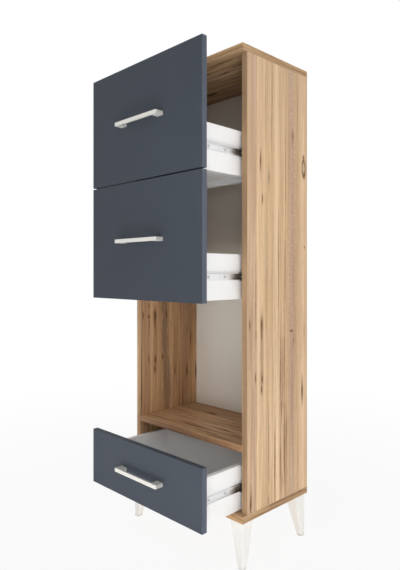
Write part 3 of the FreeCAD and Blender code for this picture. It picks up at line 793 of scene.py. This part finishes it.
def is_seen(tree):
    """1 for what the camera sees directly, mirrored or through glass, and 0 for light on its way."""
    path = tree.nodes.new("ShaderNodeLightPath")
    seen = path.outputs["Is Camera Ray"]
    for ray in ("Is Glossy Ray", "Is Transmission Ray"):
        either = tree.nodes.new("ShaderNodeMath")
        either.operation = "MAXIMUM"
        tree.links.new(seen, either.inputs[0])
        tree.links.new(path.outputs[ray], either.inputs[1])
        seen = either.outputs[0]
    return seen


def floor_paint():
    """Pale paint that keeps the shadow near the cabinet and fades into white."""
    g = Graph("floor_paint")
    speck = g.noise(g.place, scale=30.0, detail=4.0, rough=0.6)
    g.colour = g.mix(g.fall(speck, 0.3, 0.7, top=0.03), floor_pale, shade(floor_pale, 0.8))
    g.finish(Roughness=0.7, Specular_IOR_Level=0.1)
    white = g.add("ShaderNodeEmission")
    distance = g.vector("LENGTH", g.place)
    blend = g.add("ShaderNodeMixShader")
    whiteness = g.span(distance, fade_from, fade_to, near_white, far_white)
    g.feed(blend.inputs[0], g.product(is_seen(g.tree), whiteness))
    g.tree.links.new(g.shader.outputs[0], blend.inputs[1])
    g.tree.links.new(white.outputs[0], blend.inputs[2])
    g.tree.links.new(blend.outputs[0], g.output.inputs["Surface"])
    return g.material


def floor():
    """A plain floor, far wider than the view."""
    mesh = bpy.data.meshes.new("floor")
    corners = [(-floor_half, -floor_half, 0.0), (floor_half, -floor_half, 0.0),
               (floor_half, floor_half, 0.0), (-floor_half, floor_half, 0.0)]
    mesh.from_pydata(corners, [], [(0, 1, 2, 3)])
    mesh.materials.append(floor_paint())
    plane = bpy.data.objects.new("floor", mesh)
    bpy.context.scene.collection.objects.link(plane)


def world():
    """White to the eye and in reflections, a low even light on everything else."""
    room = bpy.data.worlds.new("room")
    room.use_nodes = True
    tree = room.node_tree
    tree.nodes.clear()
    blend = tree.nodes.new("ShaderNodeMixShader")
    tree.links.new(is_seen(tree), blend.inputs[0])
    for strength, entry in ((ambient_strength, blend.inputs[1]), (white_strength, blend.inputs[2])):
        background = tree.nodes.new("ShaderNodeBackground")
        background.inputs["Color"].default_value = (1.0, 1.0, 1.0, 1.0)
        background.inputs["Strength"].default_value = strength
        tree.links.new(background.outputs[0], entry)
    output = tree.nodes.new("ShaderNodeOutputWorld")
    tree.links.new(blend.outputs[0], output.inputs["Surface"])
    bpy.context.scene.world = room


def softbox(name, place, aim, size, power, spread=180.0):
    """A rectangular lamp that the camera doesn't see: size in metres, power in watts, spread in degrees."""
    light = bpy.data.lights.new(name, "AREA")
    light.shape = "RECTANGLE"
    light.size, light.size_y = size
    light.energy = power
    light.spread = math.radians(spread)
    lamp = bpy.data.objects.new(name, light)
    lamp.location = place
    lamp.rotation_euler = (Vector(aim) - Vector(place)).to_track_quat("-Z", "Y").to_euler()
    lamp.visible_camera = False
    lamp.visible_glossy = False
    bpy.context.scene.collection.objects.link(lamp)


def floor_light(name, x, y, size, power):
    """A lamp just over the floor that shines straight up, as a pale floor does."""
    near_floor = 0.004
    higher_up = 1.0
    softbox(name, (x, y, near_floor), (x, y, higher_up), size, power)


def lamps():
    """Broad lamps round the cabinet and on the floor, and narrow beams into its darker places."""
    middle = (0.0, 0.0, 0.65)
    softbox("key", (3.9, -1.8, 1.5), middle, size=(2.6, 2.6), power=30.0)
    softbox("side", (4.3, 0.0, 1.0), middle, size=(2.6, 2.6), power=8.0)
    softbox("overhead", (0.6, -1.2, 4.2), middle, size=(2.6, 2.6), power=13.0)
    softbox("rear", (-3.4, 3.2, 1.6), middle, size=(3.0, 2.6), power=60.0)
    floor_light("floor_glow", 0.0, 0.0, size=(6.0, 6.0), power=40.0)
    floor_light("floor_front", 0.0, -0.75, size=(1.3, 0.5), power=4.4)
    floor_light("floor_right", 1.5, -0.3, size=(1.4, 1.6), power=3.5)
    softbox("floor_beam", (0.95, -0.78, 0.03), (0.12, -0.06, 1.05), size=(0.7, 0.5), power=0.72, spread=38.0)
    softbox("bay_beam", (2.1, -2.05, 0.85), (-0.07, 0.2, 0.88), size=(0.4, 0.4), power=0.065, spread=18.0)
    softbox("low_right", (1.1, -1.2, 0.2), (0.1, -0.1, 0.14), size=(0.8, 0.25), power=0.58, spread=50.0)


def camera():
    lens = bpy.data.cameras.new("camera")
    lens.lens = camera_lens
    lens.shift_y = camera_rise
    eye = bpy.data.objects.new("camera", lens)
    eye.location = camera_place
    eye.rotation_euler = (camera_level, 0.0, camera_turn)
    bpy.context.scene.collection.objects.link(eye)
    bpy.context.scene.camera = eye


floor()
world()
lamps()
camera()
bpy.context.scene.view_settings.view_transform = "Standard"
